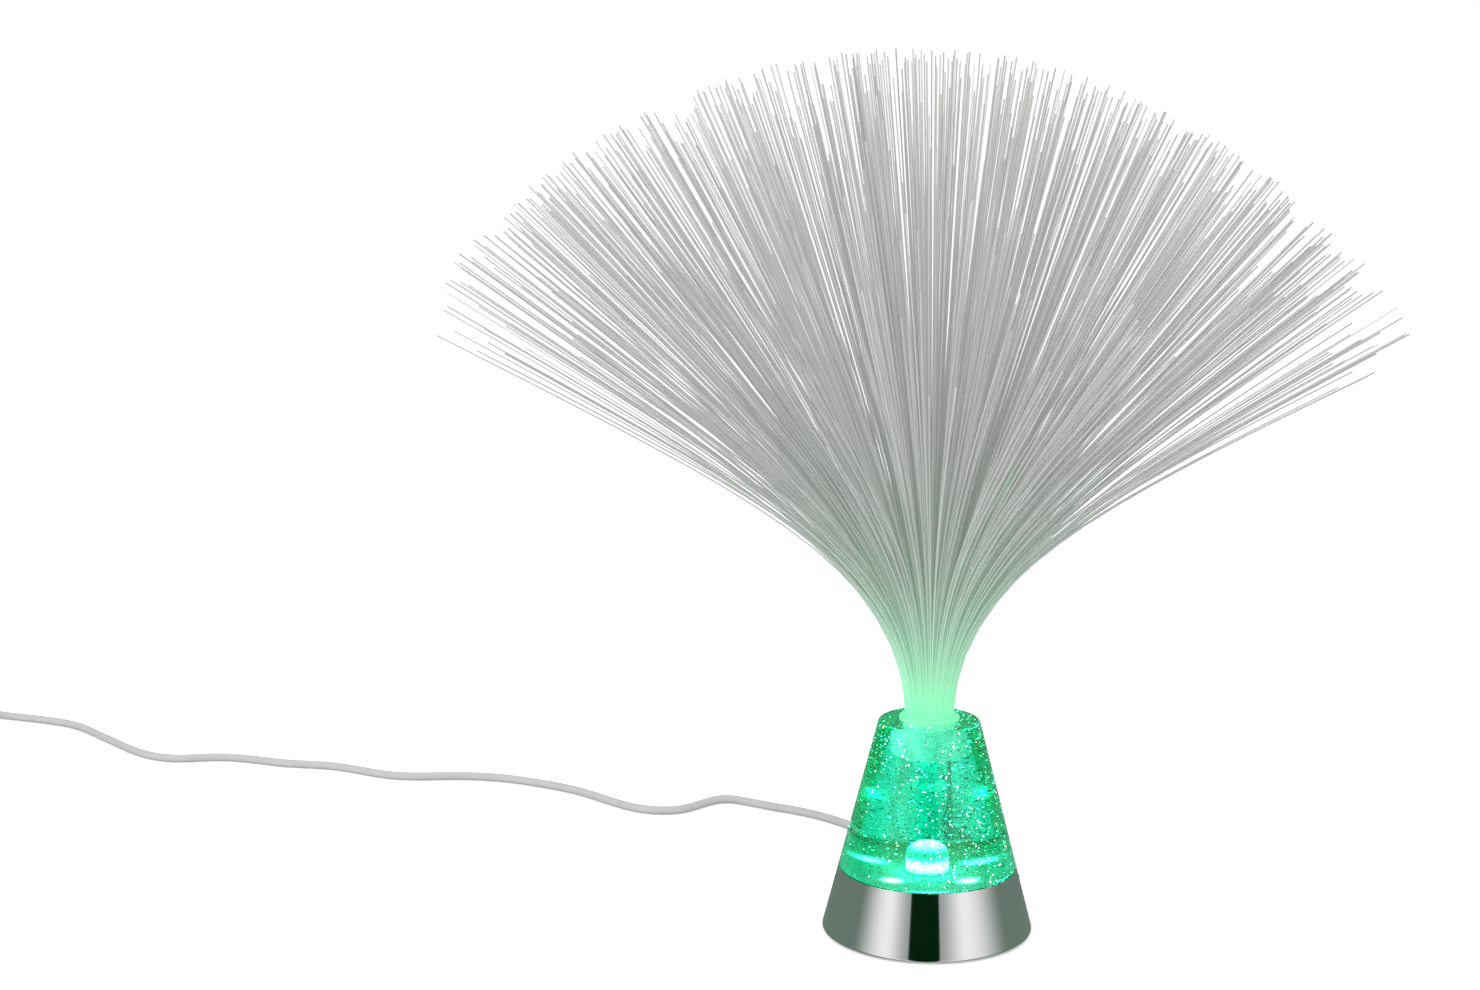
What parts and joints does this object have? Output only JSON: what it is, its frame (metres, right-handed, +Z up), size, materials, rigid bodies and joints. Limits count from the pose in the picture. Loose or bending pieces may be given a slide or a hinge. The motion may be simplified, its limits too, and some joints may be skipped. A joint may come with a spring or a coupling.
{
  "type": "fibre optic table lamp",
  "caption": "Table lamp with a flared chrome ring, a clear tapered body lit from below, and a spray of light fibres fanning out of its top.",
  "frame": {"origin": "centre of the base on the table, under the feet", "axes": "+Z up along the lamp's axis, +Y towards the back where the lead leaves, -Y the front"},
  "size_m": [0.6912, 0.5012, 0.3327],
  "materials": {
    "chrome_ring": "bright chrome plating",
    "clear_acrylic": "clear cast acrylic with glitter, lit green from below",
    "reflector": "white moulded reflector",
    "circuit_board": "green solder mask",
    "led_lens": "clear epoxy, lit",
    "chip_epoxy": "black moulding compound",
    "capacitor_sleeve": "dark printed sleeve, bare here",
    "cover_abs": "fine textured ABS",
    "foot_rubber": "moulded rubber",
    "zinc_screw": "zinc plated steel",
    "switch_body": "black moulding",
    "switch_knob": "white knob",
    "clamp_nylon": "natural nylon",
    "cord_pvc": "pale grey PVC",
    "wire_red": "red PVC",
    "wire_black": "black PVC",
    "tie": "black woven tie",
    "plug_steel": "nickel plated steel",
    "plug_tongue": "white moulding",
    "collar": "clear moulding",
    "light_fibre": "clear drawn acrylic fibre"
  },
  "bodies": {
    "lamp_base": {"base_ring": "chrome_ring", "clear_cone": "clear_acrylic", "reflector_plate": "reflector", "led_board": "circuit_board", "centre_led": "led_lens", "side_led_1": "led_lens", "side_led_2": "led_lens", "side_led_3": "led_lens", "side_led_4": "led_lens", "controller_chip": "chip_epoxy", "resistor_1": "chip_epoxy", "resistor_2": "chip_epoxy", "capacitor": "capacitor_sleeve", "base_cover": "cover_abs", "foot_1": "foot_rubber", "foot_2": "foot_rubber", "foot_3": "foot_rubber", "foot_4": "foot_rubber", "cover_screw_1": "zinc_screw", "cover_screw_2": "zinc_screw", "cover_screw_3": "zinc_screw", "board_screw_1": "zinc_screw", "board_screw_2": "zinc_screw", "board_screw_3": "zinc_screw", "clamp_screw_1": "zinc_screw", "clamp_screw_2": "zinc_screw", "switch_housing": "switch_body", "clamp_bar": "clamp_nylon", "cord_gland": "cord_pvc", "cord_inner": "cord_pvc", "cord_free": "cord_pvc", "cord_coil": "cord_pvc", "cord_tail": "cord_pvc", "plug_grip": "cord_pvc", "wire_red": "wire_red", "wire_black": "wire_black", "switch_wire_1": "wire_black", "switch_wire_2": "wire_black", "coil_tie": "tie", "plug_shell": "plug_steel", "plug_tongue": "plug_tongue"},
    "fibre_head": {"bundle_collar": "collar", "fibre_tuft_1": "light_fibre", "fibre_tuft_2": "light_fibre", "fibre_tuft_3": "light_fibre", "fibre_tuft_4": "light_fibre", "fibre_tuft_5": "light_fibre", "fibre_tuft_6": "light_fibre"},
    "switch_slider": {"switch_knob": "switch_knob"}
  },
  "joints": [
    {"name": "fibre_head_lift", "type": "slide", "parent": "lamp_base", "child": "fibre_head", "axis": [0, 0, 1], "range_m": [0, 0.03]},
    {"name": "switch_slide", "type": "slide", "parent": "lamp_base", "child": "switch_slider", "axis": [1, 0, 0], "range_m": [0, 0.003]}
  ]
}
